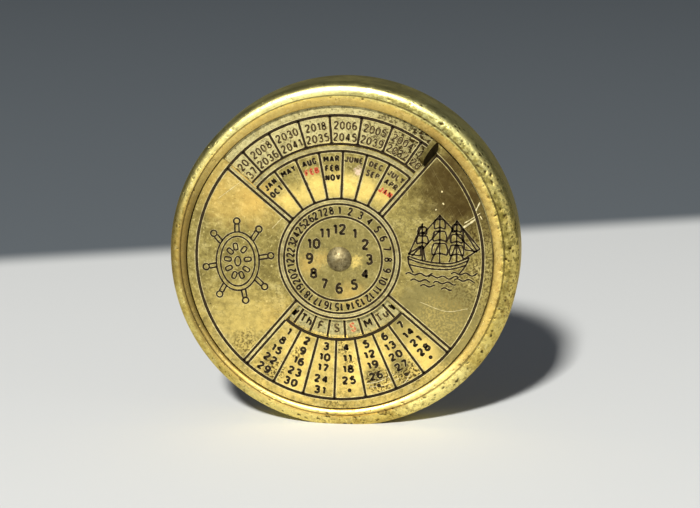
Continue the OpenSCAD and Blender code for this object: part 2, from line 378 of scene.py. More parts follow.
casingFinish = dict(
    brassFinish, bright=paint(236, 216, 126), dull=paint(206, 184, 98), stain=paint(146, 120, 54),
    dark=paint(50, 36, 14), fresh=paint(254, 242, 176), cloudScale=0.22, depthScale=1.0,
    patchScale=1.1, grainScale=1.0, grainShare=0.5, fleckScale=1.3, fleckShare=0.4,
    speckScale=2.2, speckFrom=0.64, speckShare=0.55, rough=(0.34, 0.44), patches=[
        (moss, "34,5,7,2,5,0.7 32,15,6,1.8,5,0.75 26,23,6,1.8,5,0.75 18,29.5,6,1.8,5,0.75", True),
        # the lemon patches low on the shoulder are a painted highlight
        (bronze, "34.5,-7,4.5,1.5,5,0.6", True), (lemonHighlight, "20,-28,8,2.5,4,0.7"),
        # the bronze patch at -33,3 is painted shade on the left of the lip and shoulder
        (bronze, "-33,3,9,2.5,4,0.5"), (moss, "-33,8,5,2,5,0.5 -24,25,4,2,5,0.4", True),
        (bronze, "14,-31,5,2,6,0.4 0,-34,5.5,2,6,0.4 -18,-29,4,2,6,0.25 25,-24,5,2,6,0.35", True),
        (moss, "23,26,8,2.5,5,0.5 0,35,9,3,5,0.16"), (lemonHighlight, "-12,-33,10,3,4,0.35")])
rivetFinish = dict(
    brassFinish, bright=paint(150, 140, 106), dull=paint(116, 104, 72), stain=paint(78, 68, 46),
    dark=paint(50, 42, 28), fresh=paint(190, 180, 142), cloudScale=0.6, grainScale=2.2,
    grainShare=0.5, fleckScale=2.6, fleckShare=0.3, speckScale=2.4, speckFrom=0.62,
    speckShare=0.5, rough=(0.56, 0.66), bump=1.0)
# Burr finish: bright burrs, partly a painted glint of lit engraved edges
burrGlintFinish = dict(
    plateFinish, bright=paint(222, 208, 152), dull=paint(176, 162, 110), low=paint(248, 230, 160),
    rough=(0.36, 0.46), grainShare=0.4, patches=[(olive, "23,12,9,3,6,0.6")], speckShare=0.3,
    scratchTurns=())
paleFinish = dict(burrGlintFinish, bright=paint(176, 166, 122), dull=paint(146, 136, 94),
                  low=paint(212, 196, 142))
chipFinish = dict(burrGlintFinish, bright=paint(252, 240, 190), dull=paint(236, 218, 160),
                  low=paint(255, 240, 190), rough=(0.3, 0.4), grainShare=0.2, patches=[])
blackFinish = {"deep": paint(20, 15, 7), "light": paint(46, 36, 18), "bare": paint(130, 112, 62),
               "wearScale": 1.1, "wearFrom": 0.66, "wearShare": 0.5, "rough": 0.85}
wornFinish = dict(blackFinish, deep=paint(40, 32, 18), light=paint(72, 60, 35),
                  bare=paint(136, 120, 76), wearFrom=0.58, wearShare=0.6)
redFinish = {"deep": paint(150, 56, 37), "light": paint(176, 84, 56), "bare": paint(200, 168, 110),
             "wearScale": 2.0, "wearFrom": 0.58, "wearShare": 0.65, "rough": 0.8}
fadedFinish = dict(redFinish, deep=paint(142, 66, 42), light=paint(172, 106, 70),
                   bare=paint(188, 160, 106), wearFrom=0.5, wearShare=0.75)

plateBrass, plateShader, platePlace, plateColour = brassLook("plateBrass", plateFinish)
discBrass, rivetBrass, burrGlintBrass, paleBrass, chipBrass = (
    brassLook(name, spec)[0] for name, spec in (
        ("discBrass", discFinish), ("rivetBrass", rivetFinish), ("burrGlintBrass", burrGlintFinish),
        ("paleBrass", paleFinish), ("chipBrass", chipFinish)))
blackEnamel = enamelLook("blackEnamel", blackFinish)
wornEnamel = enamelLook("wornEnamel", wornFinish)
redEnamel = enamelLook("redEnamel", redFinish)
fadedRed = enamelLook("fadedRed", fadedFinish)

# Tones of the casing: each takes over from one number to the other (mm from the dial's axis, or
# to the left, up, right or behind), and the last two numbers are its share at either end
tones = {"dirtAndGrooveShade": (0.15, 0.9, 0, 0.92), "lip": (33.1, 32.5, 0, 0.5), "left": (-22, -31, 0, 1.3),
         "up": (0, 30, 0, 0.5), "pastCrest": (32.9, 33.3), "mossFlecks": (0.4, 0.56, 0.3, 0.85),
         "rightTurn": (0.82, 0, 0.57), "right": (12, 30), "mossIn": (33.1, 33.4),
         "mossOut": (35.1, 34.3), "front": (9, 5)}
casingBrass, casingShader, casingPlace, colour = brassLook("casingBrass", casingFinish)
# Dirt darkens the pits, and painted shade darkens the turned groove
dirtAndGrooveShade = remap(wire("Attribute", {}, 2, colour, attribute_name="pitDirtGrooveShade"), *tones["dirtAndGrooveShade"])
across = wire("VectorMath", {0: casingPlace, 1: (1, 0, 1)}, operation="MULTIPLY")
fromAxis = measured("LENGTH", across)
lipTan = remap(fromAxis, *tones["lip"])
colour = mixed(lipTan, colour, paint(206, 172, 98))
# Painted shade: the lip is painted darker on its left side
leftLipShade = remap(coordinate(casingPlace, "X"), *tones["left"])
colour = mixed(times(leftLipShade, lipTan), colour, paint(84, 70, 32))
# Painted highlight: past the crest the casing is painted paler towards its top
topSheen = remap(coordinate(casingPlace, "Z"), *tones["up"])
colour = mixed(times(topSheen, remap(fromAxis, *tones["pastCrest"])), colour, paint(204, 206, 150))
mossFlecks = remap(cloud(casingPlace, 0.8, 7, 0.68), *tones["mossFlecks"])
rightward = measured("DOT_PRODUCT", casingPlace, tones["rightTurn"])
mossBand = times(remap(fromAxis, *tones["mossIn"]), remap(fromAxis, *tones["mossOut"]))
mossBand = times(mossBand, remap(rightward, *tones["right"]))
mossBand = times(mossBand, remap(coordinate(casingPlace, "Y"), *tones["front"]))
colour = mixed(times(mossBand, mossFlecks), colour, moss)
feed(casingShader, "Base Color", mixed(dirtAndGrooveShade, colour, casingFinish["dark"]))
casingShader.inputs["Specular Tint"].default_value = paint(240, 230, 196)

# Both faces of the lug are painted nearly black, as painted shade and reflection of the dark
# surroundings, partly also tarnish:
# there the dial's z passes "raised", and the normal n has |n . lugNormal| past "facing"
lug = {"normal": (0.67, -0.41, -0.62), "facing": (0.6, 0.95, 0.35, 0.97), "raised": (-0.1, -0.5)}
facing = measured("DOT_PRODUCT", wire("NewGeometry", {}, 1, platePlace), lug["normal"])
facing = wire("Math", {0: facing}, operation="ABSOLUTE")
raised = remap(coordinate(platePlace, "Y"), *lug["raised"])
lugShadeAndTarnish = times(remap(facing, *lug["facing"]), raised)
feed(plateShader, "Base Color", mixed(lugShadeAndTarnish, plateColour, paint(34, 25, 13)))

steelLook, steelShader, steelPlace = startLook("washerSteel")
steelShader.inputs["Metallic"].default_value = 1.0
feed(steelShader, "Roughness", remap(cloud(steelPlace, 1.5, 4), 0.3, 0.7, 0.3, 0.5))
feed(steelShader, "Base Color", mixed(cloud(steelPlace, 0.8, 5), paint(190, 190, 188),
                                      paint(140, 138, 132)))
print("stage: materials made")

casing = {
    "outer": 35.45, "recess": 31.15, "floor": -1.9, "floorEdge": 30.6, "crest": 0.35,
    "wall": (-1.4, -0.9, -0.5, -0.3), "lipWidth": 1.5, "lipHeight": 0.5, "lineWidth": 0.32,
    "lineDepth": 0.14, "lineEdge": 0.04, "shoulder": 3.0, "power": 2.9, "aside": (0.45, 0.45),
    "outside": (0.85, 0.5), "backRound": 1.0, "back": -12.05, "footWidth": 5.0, "relief": 0.5,
    "flat": 34.25, "hole": 1.55, "washerRoom": 4.3, "washerSeat": -9.65, "steps": 960,
    "sideRows": 24, "sharp": 50,
}
casing["crestAt"] = casing["recess"] + casing["lipWidth"]
# Dents: where they gather as (angle, spread, count), and the ranges of their place from the
# wall, depth, width and height in mm, the deepest that they get together, and where they may be
dents = {"pitted": ((275, 0.55, 480), (0, 0.5, 420), (45, 0.3, 160), (160, 0.6, 90), (0, 3.0, 150)),
         "ranges": ((1.2, 7.0), (0.02, 0.08), (0.12, 0.36), (0.12, 0.26)), "deepest": 0.11,
         "radius": 34.0, "from": 0.3, "to": 10.0, "dirtAt": 0.09, "grooveShade": 0.6}


def ovalPoints(rx, ry, a, power):
    # points of |x / rx|^power + |y / ry|^power = 1
    c, s = np.cos(a), np.sin(a)
    return np.stack([rx * np.sign(c) * np.abs(c) ** (2 / power),
                     ry * np.sign(s) * np.abs(s) ** (2 / power)], -1)


def quarter(centre, rx, ry, start, end, count, power=2.0):
    # a quarter of an oval about the centre, its last point left out
    a = np.radians(np.linspace(start, end, count, endpoint=False))
    return centre + ovalPoints(rx, ry, a, power)


def casingProfile(c):
    # (r, z) from the recess's floor over the lip, turned line, shoulder, side, foot and relief
    crest = c["crestAt"]
    shoulder = crest + c["lineWidth"]
    groove = c["crest"] - c["lineDepth"]
    relief = c["back"] + c["relief"]
    low = c["crest"] - c["shoulder"]
    foot = c["outer"] - c["footWidth"]
    down = np.linspace(low, c["back"] + c["backRound"], c["sideRows"], endpoint=False)
    return np.concatenate([
        [[c["hole"], c["floor"]], [c["floorEdge"], c["floor"]], [c["recess"], c["floor"]]],
        [[c["recess"], z] for z in c["wall"]],
        quarter((crest, c["crest"] - c["lipHeight"]), c["lipWidth"], c["lipHeight"], 180, 90, 14),
        [[crest, c["crest"]], [crest + c["lineEdge"], groove], [shoulder - c["lineEdge"], groove]],
        quarter((shoulder, low), c["outer"] - shoulder, c["shoulder"], 90, 0, 40, c["power"]),
        np.stack([np.full(c["sideRows"], c["outer"]), down], -1),
        quarter((c["outer"] - c["backRound"], c["back"] + c["backRound"]), c["backRound"],
                c["backRound"], 0, -90, 8),
        [[c["outer"] - c["backRound"], c["back"]], [foot, c["back"]], [foot - c["relief"], relief],
         [c["washerRoom"], relief], [c["washerRoom"], c["washerSeat"]],
         [c["hole"], c["washerSeat"]]],
    ])


def dentField(angles, along, d):
    # sum over dents of depth * exp(-((r da) / w)^2) * exp(-(ds / h)^2), cut off at the deepest
    where = np.concatenate([rng.normal(radians(a), spread, n) for a, spread, n in d["pitted"]])
    drawn = [rng.uniform(low, high, len(where)) for low, high in d["ranges"]]
    where, place, depth, wide, high = np.stack([where, *drawn])[:, :, None]
    turn = (angles - where + np.pi) % (2 * np.pi) - np.pi
    near = depth * np.exp(-(turn * d["radius"] / wide) ** 2)
    field = near.T @ np.exp(-((along - place) / high) ** 2)
    return np.clip(field * ((along > d["from"]) & (along < d["to"])), 0, d["deepest"])


def makeCasing(c, d):
    # the profile (r, z) turned about the dial's axis, pushed in along its normal by the dents:
    # (x, y) = r (cos a, sin a) + aside * share of the lip crossed + (outside - aside) * share of
    # the shoulder crossed, and y >= -flat
    profile = casingProfile(c)
    normal = leftOf(profile, True)
    along = pathLength(profile)
    along -= along[int(np.argmax(profile[:, 1] > c["wall"][2] + 0.1)) + 2]
    angles = np.linspace(0, 2 * np.pi, c["steps"], endpoint=False)
    field = dentField(angles, along, d)
    r = profile[:, 0] - field * normal[:, 0]
    z = profile[:, 1] - field * normal[:, 1]
    crest = c["crestAt"]
    lip = np.clip((profile[:, 0] - c["recess"]) / c["lipWidth"], 0, 1)
    past = np.clip((profile[:, 0] - crest) / (c["outer"] - crest), 0, 1)
    moved = lip[:, None] * c["aside"] + past[:, None] * np.subtract(c["outside"], c["aside"])
    x = r * np.cos(angles)[:, None] + moved[:, 0]
    y = np.maximum(r * np.sin(angles)[:, None] + moved[:, 1], -c["flat"])
    points = np.stack([x, y, z], -1)
    faces = gridFaces(c["steps"], len(profile), True, True).tolist()
    piece = addPiece("casing_turned", points.reshape(-1, 3), faces, casingBrass, "base",
                     "casing_brass", c["sharp"])
    pitDirtGrooveShade = piece.data.attributes.new("pitDirtGrooveShade", "FLOAT", "POINT")
    groove = (np.abs(profile[:, 0] - crest - c["lineWidth"] / 2) < c["lineWidth"] / 2) & (
        profile[:, 1] > 0) & (profile[:, 1] < c["crest"] - 0.05)
    # dirt in the pits, painted shade along the turned groove
    grooveShadeAndPitDirt = np.maximum(field / d["dirtAt"], groove * d["grooveShade"]).clip(0, 1)
    pitDirtGrooveShade.data.foreach_set("value", grooveShadeAndPitDirt.astype(np.float32).ravel())
    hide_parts("casing")


makeCasing(casing, dents)
print("stage: casing made")

# Hammer marks on the rivet's head are x, y, depth and width
rivet = {"head": 2.5, "rise": 1.4, "edge": 0.3, "under": 0.05, "shank": 1.5, "tailTop": -10.25,
         "tail": 2.4, "tailEnd": -11.15, "tailRound": 0.3, "steps": 96, "sharp": 40,
         "marks": ((0.6, 0.5, 0.10, 0.9), (-0.8, -0.3, 0.08, 0.8), (0.2, -1.1, 0.07, 0.7),
                   (-0.5, 1.1, 0.06, 0.7), (1.4, -0.5, 0.05, 0.6))}


def makeRivet(r):
    # z = rise - (rise - edge) (x / head)^2.2, less depth * exp(-(distance / width)^2) for each
    # hammer mark, over a straight edge, shank and tail
    out = np.linspace(0, 1, 20)
    dome = np.stack([r["head"] * out, r["rise"] - (r["rise"] - r["edge"]) * out ** 2.2], -1)
    foot = [[r["head"], r["under"]], [r["shank"], r["under"]], [r["shank"], r["tailTop"]],
            [r["tail"], r["tailTop"]], [r["tail"], r["tailEnd"] + r["tailRound"]],
            [r["tail"] - r["tailRound"], r["tailEnd"]]]
    profile = np.concatenate([dome[1:], foot])
    angles = np.linspace(0, 2 * np.pi, r["steps"], endpoint=False)
    x = profile[:, 0] * np.cos(angles)[:, None]
    y = profile[:, 0] * np.sin(angles)[:, None]
    z = np.broadcast_to(profile[:, 1], x.shape).copy()
    top = (z > r["edge"]).astype(float)
    for mx, my, depth, wide in r["marks"]:
        z -= top * depth * np.exp(-((x - mx) ** 2 + (y - my) ** 2) / wide ** 2)
    ends = [[0, 0, float(z[:, 0].mean())], [0, 0, r["tailEnd"]]]
    points = np.concatenate([np.stack([x, y, z], -1).reshape(-1, 3), ends])
    count, n = len(profile), r["steps"]
    faces = gridFaces(n, count, True, False).tolist()
    i, j = np.arange(n) * count, (np.arange(n) + 1) % n * count
    for cap, a, b in ((0, i, j), (1, j + count - 1, i + count - 1)):
        faces += np.stack([np.full(n, n * count + cap), a, b], -1).tolist()
    piece = addPiece("rivet_hammered", points, faces, rivetBrass, "base", "rivet_brass",
                     r["sharp"])
    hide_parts("centre_rivet")


makeRivet(rivet)
print("stage: rivet made")

# The frame's parts that keep their shape
for node, look in (("face_plate", plateBrass), ("year_disc", discBrass),
                   ("spacer_washer", steelLook), ("rear_washer", rivetBrass)):
    part = frame["nodes"][node]
    part.data.materials.clear()
    part.data.materials.append(look)

# Black filling in the engraved lines, bright burrs beside them that are partly a painted glint of the
# lit line edges, and strips kept bright by fingers
lines = {"top": 0.012, "under": 0.125, "wobble": 0.1, "spread": 0.14, "burrWidth": 0.15,
         "burrTop": 0.008, "burrWobble": 0.5, "sunk": 0.01, "stripTop": 0.004, "stripWidth": 0.5,
         "stripEnd": 0.3, "arcWidth": 0.72, "arcAside": 0.1, "bandWidth": 0.7}


def plateLines(d):
    # (path, width, closed) of every engraved line on the face plate, the window's rebate last
    around = arcPath(d["outerLine"], d["notchStart"] + d["sector"], 360 - d["sector"])
    found = [(around, d["outerWidth"], False)]
    found += [(arcPath(d[ring]), d["ringWidth"], True) for ring in ("hub", "numberOut", "numberIn")]
    plain = [arcPath(d["monthLine"], d["notchStart"], d["sector"])]
    for k in range(d["shown"] + 1):
        turn = k * d["cell"]
        plain += [rayPath(d["notchStart"] + turn, d["hub"], d["monthLine"]),
                  rayPath(d["windowStart"] + turn, d["dateLine"], d["outerLine"])]
    root, reach = ((d[ring] ** 2 - d["border"] ** 2) ** 0.5 for ring in ("hub", "outerLine"))
    for start in (d["notchStart"], d["windowStart"]):
        plain += [rayPath(start, root, reach, -d["border"]),
                  rayPath(start + d["sector"], root, reach, d["border"])]
    found += [(path, d["lineWidth"], False) for path in plain]
    rebate = arcPath((d["windowOut"] + d["dateLine"]) / 2, d["windowStart"], d["sector"])
    return found + [(rebate, d["dateLine"] - d["windowOut"], False)]


def discLines(d):
    found = [(arcPath(d["outerLine"]), d["outerWidth"], True),
             (arcPath(d["notch"] + d["lineWidth"] / 2), d["lineWidth"], True)]
    for k in range(d["cells"]):
        for ends in ((d["notch"] + 0.3, d["outerLine"]), (d["windowIn"], d["windowOut"])):
            ray = rayPath(d["discStart"] + k * d["cell"], *ends)
            found.append((ray, d["lineWidth"], False))
    return found


def addBars(name, parts, look, carrier):
    # joins the bars into one piece that rides on its carrier
    addPiece(name, *joined(parts), look, *carrier[1:])


def fillLines(name, found, carrier):
    level = carrier[0]
    parts = [barAlong(path, width + lines["spread"], level - lines["under"],
                      level + lines["top"], lines["wobble"], closed)
             for path, width, closed in found]
    addBars(name, parts, blackEnamel, carrier)


def burrLines(name, found, carrier):
    # the edges that the graver threw up, partly a painted glint of the lit edges: a bar half a line
    # and half a burr off each path
    level, parts = carrier[0], []
    for path, width, closed in found:
        shift = leftOf(path, closed) * (width + lines["spread"] + lines["burrWidth"]) / 2
        parts += [barAlong(path + sign * shift, lines["burrWidth"], level - lines["sunk"],
                           level + lines["burrTop"], lines["burrWobble"], closed)
                  for sign in (-1, 1)]
    addBars(name, parts, burrGlintBrass, carrier)


fillLines("plate_line_enamel", plateLines(dial), onPlate)
burrLines("plate_line_burr_glints", plateLines(dial)[:-1], onPlate)
fillLines("disc_line_enamel", discLines(dial), onDisc)
burrLines("disc_line_burr_glints", discLines(dial), onDisc)


def polishedStrips(d):
    # the narrow strips between double lines, as bars along their middles
    between = (d["monthLine"] + d["notch"]) / 2 + lines["arcAside"]
    found = [(arcPath(between, d["notchStart"], d["sector"]), lines["arcWidth"])]
    for start in (d["notchStart"], d["windowStart"]):
        for turn, sign in ((0, -1), (d["sector"], 1)):
            found.append((rayPath(start + turn, d["hub"] + lines["stripEnd"],
                                  d["outerLine"] - lines["stripEnd"], sign * d["border"] / 2),
                          lines["stripWidth"]))
    return [barAlong(path, width, -lines["sunk"], lines["stripTop"], 0.08)
            for path, width in found]


addBars("plate_polished_strips", polishedStrips(dial), paleBrass, onPlate)
hubBand = barAlong(arcPath((dial["hub"] + dial["numberOut"]) / 2), lines["bandWidth"],
                   -lines["sunk"], lines["stripTop"], 0.05, True)
addBars("hub_band", [hubBand], paleBrass, onPlate)
print("stage: engraved lines filled")

lettering = {"depth": 0.03, "rise": 0.014, "haloRise": 0.007, "halo": 0.05, "wobble": 0.12}

# Each letter is drawn with a few strokes in a box 100 units high. An l stroke runs straight
# from point to point, a c stroke is a smooth curve through them and an o stroke a closed one.
letterStrokes = {
    "0": "o 28,0 50,16 55,50 50,84 28,100 6,84 1,50 6,16", "1": "l 4,76 26,100 26,0",
    "2": "c 2,76 10,95 28,100 48,92 52,72 38,46 14,20 0,0; l 0,0 55,0",
    "3": "c 2,84 14,98 30,100 48,90 48,64 22,53; c 22,53 50,43 54,18 40,2 20,0 1,16",
    "4": "l 42,0 42,100 0,28 60,28",
    "5": "l 50,100 8,100 4,56; c 4,56 26,63 50,50 54,26 42,4 20,0 1,14",
    "6": "c 46,95 28,100 8,84 1,50 3,18 20,0 42,3 54,24 48,50 28,58 8,46", "7": "l 2,100 55,100 20,0",
    "8": "o 28,54 46,64 48,86 28,100 8,86 10,64; o 28,54 52,40 53,14 28,0 3,14 4,40",
    "9": "c 10,5 28,0 48,16 55,50 53,82 36,100 14,97 2,76 8,50 28,42 48,54",
    "A": "l 0,0 31,100 62,0; l 12,32 50,32",
    "B": "l 28,100 0,100 0,0 30,0; l 0,53 28,53; c 28,100 46,88 46,66 28,53; c 28,53 52,40 52,12 30,0",
    "C": "c 50,80 40,97 24,100 5,82 0,50 5,18 24,0 42,3 52,20",
    "D": "l 22,100 0,100 0,0 22,0; c 22,100 46,86 54,50 46,14 22,0",
    "E": "l 48,100 0,100 0,0 50,0; l 0,53 40,53", "F": "l 48,100 0,100 0,0; l 0,52 40,52",
    "G": "c 50,82 38,98 22,100 5,82 0,50 5,18 22,0 40,2 52,16; l 52,12 52,46 30,46",
    "J": "l 40,100 40,26; c 40,26 34,6 18,0 3,10 0,28", "L": "l 0,100 0,0 44,0",
    "M": "l 0,0 0,100 35,30 70,100 70,0", "N": "l 0,0 0,100 52,0 52,100",
    "O": "o 30,0 52,14 60,50 52,86 30,100 8,86 0,50 8,14",
    "P": "l 28,100 0,100 0,0; l 0,46 28,46; c 28,100 50,88 50,60 28,46",
    "R": "l 28,100 0,100 0,0; l 0,48 28,48 54,0; c 28,100 48,88 48,62 28,48",
    "S": "c 48,83 36,98 20,100 3,86 6,64 26,52 47,38 50,14 33,0 15,1 0,18",
    "T": "l 0,100 56,100; l 28,100 28,0", "U": "c 0,100 0,62 1,24 10,4 26,0 42,4 51,24 52,62 52,100",
    "V": "l 0,100 29,0 58,100", "W": "l 0,100 14,0 28,80 42,0 56,100",
    "Y": "l 0,100 28,50 56,100; l 28,50 28,0", "h": "l 0,0 0,100; c 0,46 12,63 30,64 40,46 41,0",
    "u": "l 42,66 42,0; c 0,66 0,22 10,2 28,3 41,24",
}


def letterPaths(letter, style):
    # the strokes as (path, closed) in mm, standing on y = 0 with their outside on the height,
    # and the letter's width
    h, stroke = style["height"], style["stroke"]
    paths = []
    for kind, text in (line.split(" ", 1) for line in letterStrokes[letter].split("; ")):
        p = spots(text) / 100 * (style["stretch"] * h, h - stroke) + stroke / 2
        if kind == "l":
            paths += [(np.linspace(a, b, 4), False) for a, b in zip(p[:-1], p[1:])]
        else:
            paths.append((curvePath(p, 0.12 * h, kind == "o"), kind == "o"))
    return paths, max(path[:, 0].max() for path, closed in paths) + stroke / 2


def setWord(word, style):
    # letters side by side, their block centred on the origin
    placed, at = [], 0.0
    for letter in word:
        paths, width = letterPaths(letter, style)
        placed += [(path + (at, -style["height"] / 2), closed) for path, closed in paths]
        at += width + style["gap"]
    return [(path - ((at - style["gap"]) / 2, 0), closed) for path, closed in placed]


def layWords(words, level, rise, style, extra=0.0):
    # each word is (text, radius, angle, turn): its middle is at the polar place, turned
    parts = []
    for text, radius, angle, turn in words:
        c, s = cos(radians(turn)), sin(radians(turn))
        for path, closed in setWord(text, style):
            q = path @ np.array([[c, s], [-s, c]]) + polar(radius, angle)
            parts.append(barAlong(q, style["stroke"] + 2 * extra, level - lettering["depth"],
                                  level + rise, lettering["wobble"], closed, not closed))
    return parts


def letterPiece(name, words, style, look, carrier):
    level = carrier[0]
    addBars(name, layWords(words, level, lettering["rise"], style), look, carrier)
    # the halo is bright burr, partly a painted glint of the lit letter edges
    addBars(name + "_burr_glints", layWords(words, level, lettering["haloRise"], style,
                                      lettering["halo"]), burrGlintBrass, carrier)


dates = {"height": 1.84, "stretch": 0.93, "gap": 0.13, "stroke": 0.51, "last": 31,
         "rows": (18.3, 20.55, 22.8, 25.15, 27.45), "dotIn": 0.2, "dot": 0.82}
dateWords, dotPlaces = [], []
for column in range(dial["shown"]):
    angle = dial["windowStart"] + (column + 0.5) * dial["cell"]
    for row, radius in enumerate(dates["rows"]):
        day = 1 + column + 7 * row
        if day <= dates["last"]:
            dateWords.append((str(day), radius, angle, angle + 90))
        else:
            dotPlaces.append(polar(radius - dates["dotIn"], angle))
letterPiece("plate_dates", dateWords, dates, blackEnamel, onPlate)

# Months by column; the leap ones are (column, row), and from a column on they are rubbed
months = {"height": 1.46, "stretch": 0.71, "gap": 0.06, "stroke": 0.43,
          "rows": (20.45, 18.55, 16.65), "leap": ((2, 1), (6, 2)), "rubbedFrom": 4,
          "names": ("JAN OCT", "MAY", "AUG FEB", "MAR FEB NOV", "JUNE", "DEC SEP",
                    "JULY APR JAN")}
monthWords = {"plain": [], "rubbed": [], "leap": []}
for column, names in enumerate(months["names"]):
    angle = dial["notchStart"] + (6.5 - column) * dial["cell"]
    for row, name in enumerate(names.split()):
        kept = "rubbed" if column >= months["rubbedFrom"] else "plain"
        kept = "leap" if (column, row) in months["leap"] else kept
        monthWords[kept].append((name, months["rows"][row], angle, angle - 90))
letterPiece("plate_months", monthWords["plain"], months, blackEnamel, onPlate)
letterPiece("plate_months_rubbed", monthWords["rubbed"], months, wornEnamel, onPlate)
letterPiece("plate_leap_months", monthWords["leap"], months, redEnamel, onPlate)

years = {"height": 1.84, "stretch": 0.74, "gap": 0.11, "stroke": 0.38, "rows": (27.0, 24.65),
         "first": 1996, "last": 2045, "start": 139.0,
         "pairs": ((2020, 2037), (2008, 2036), (2030, 2041), (2018, 2035), (2006, 2045),
                   (2005, 2039), (2004, 2032))}


def yearClass(year):
    # the weekday of 1 March, which leap years share with the plain years beside them
    return datetime.date(year, 3, 1).weekday()


def yearCells(y):
    # 28 cells, clockwise: cell k holds years of the class that falls by one from cell to cell
    first = yearClass(y["pairs"][0][0])
    cellYears = {k: list(pair) for k, pair in enumerate(y["pairs"])}
    used = {year for pair in y["pairs"] for year in pair}
    for k in range(7):
        left = [year for year in range(y["first"], y["last"] + 1)
                if year not in used and yearClass(year) == (first - k) % 7]
        for turn in range(3):
            cellYears[k + 7 * (turn + 1)] = left[turn::3]
    return cellYears


yearWords = []
for cell, held in yearCells(years).items():
    angle = years["start"] - cell * dial["cell"]
    for row, year in enumerate(sorted(held)[:2]):
        yearWords.append((str(year), years["rows"][row], angle, angle - 90))
letterPiece("disc_years", yearWords, years, wornEnamel, onDisc)

# Weekdays from a Sunday on, and the cells whose letter is turned a little towards the next one
weekdays = {"height": 2.0, "stretch": 0.86, "gap": 0.16, "stroke": 0.44, "radius": 14.5,
            "start": 280.43, "names": ("S", "M", "Tu", "W", "Th", "F", "S"),
            "kept": ("M", "W", "Th"), "turned": {3: -1.1, 24: 1.9}}
weekdayWords = {"red": [], "black": [], "rubbed": []}
for cell in range(dial["cells"]):
    angle = weekdays["start"] + cell * dial["cell"] + weekdays["turned"].get(cell, 0)
    name = weekdays["names"][cell % 7]
    kept = "red" if cell % 7 == 0 else ("black" if name in weekdays["kept"] else "rubbed")
    weekdayWords[kept].append((name, weekdays["radius"], angle, angle + 90))
letterPiece("disc_weekdays", weekdayWords["black"], weekdays, blackEnamel, onDisc)
letterPiece("disc_weekdays_rubbed", weekdayWords["rubbed"], weekdays, wornEnamel, onDisc)
letterPiece("disc_sundays", weekdayWords["red"], weekdays, fadedRed, onDisc)

ringNumbers = {"height": 1.84, "stretch": 0.68, "gap": 0.1, "stroke": 0.42, "radius": 9.92}
ringWords = [(str(k + 1), ringNumbers["radius"], 90 - k * dial["cell"], -k * dial["cell"])
             for k in range(dial["cells"])]
letterPiece("hub_ring_numbers", ringWords, ringNumbers, blackEnamel, onPlate)
hubNumbers = {"height": 2.4, "stretch": 0.84, "gap": 0.16, "stroke": 0.56, "radius": 6.05}
hubWords = [(str(k), hubNumbers["radius"], 90 - 30 * k, 0) for k in range(1, 13)]
letterPiece("hub_numbers", hubWords, hubNumbers, blackEnamel, onPlate)
print("stage: lettering set")

drawing = {"low": -0.03, "high": 0.014, "width": 0.36, "wobble": 0.2, "burr": 0.07,
           "burrWobble": 0.1}


def drawStrokes(name, strokes):
    # strokes are (path, closed); each is an enamel bar over a wider, lower bar of bright burr, partly
    # a painted glint of the lit edge
    d = drawing
    for end, width, high, wobble, look in (
            ("", d["width"], d["high"], d["wobble"], blackEnamel),
            ("_burr_glints", d["width"] + 2 * d["burr"], d["high"] / 2, d["burrWobble"], burrGlintBrass)):
        addBars(name + end, [barAlong(path, width, d["low"], high, wobble, closed, not closed)
                             for path, closed in strokes], look, onPlate)


wheel = {"centre": (-20.65, -0.85), "felloe": (4.36, 6.0), "inner": (3.5, 5.1),
         "hub": (0.6, 0.95), "slotRing": (2.05, 3.05), "slot": (0.42, 0.7), "grip": 0.42,
         "ball": 0.62, "balls": "-20.8,7.4 -16.3,5.8 -13.9,0.4 -15.2,-6 -19.1,-8.9 -24.4,-7.7 "
                                "-27.1,-2.1 -25.5,4.8",
         "slotAngles": (102, 52, 8, -32, -68, -110, -152, 172, 138), "slotPower": 3.2}


def oval(centre, size, turn=0, step=0.12, power=2.0):
    # a whole oval about the centre, turned
    count = int(2 * np.pi * max(size) / step)
    x, y = ovalPoints(*size, np.linspace(0, 2 * np.pi, count, endpoint=False), power).T
    c, s = cos(radians(turn)), sin(radians(turn))
    return np.stack([centre[0] + x * c - y * s, centre[1] + x * s + y * c], -1)


def wheelStrokes(w):
    # oval rims, a ball at each spoke's end with two straight edges to the rim, and a ring of slots
    centre = np.array(w["centre"])
    strokes = [(oval(centre, w[part]), True) for part in ("felloe", "inner", "hub")]
    for ball in spots(w["balls"]):
        strokes.append((oval(ball, (w["ball"], w["ball"])), True))
        away = ball - centre
        unit = away / np.linalg.norm(away)
        across = np.array([-unit[1], unit[0]]) * w["grip"]
        root = centre + away / np.linalg.norm(away / np.array(w["felloe"]))
        tip = ball - unit * w["ball"]
        strokes += [(curvePath([root + sign * across, tip + sign * across]), False)
                    for sign in (-1, 1)]
    for angle in w["slotAngles"]:
        middle = centre + polar(1, angle) * w["slotRing"]
        strokes.append((oval(middle, w["slot"], angle - 90, power=w["slotPower"]), True))
    return strokes


drawStrokes("wheel_drawing", wheelStrokes(wheel))

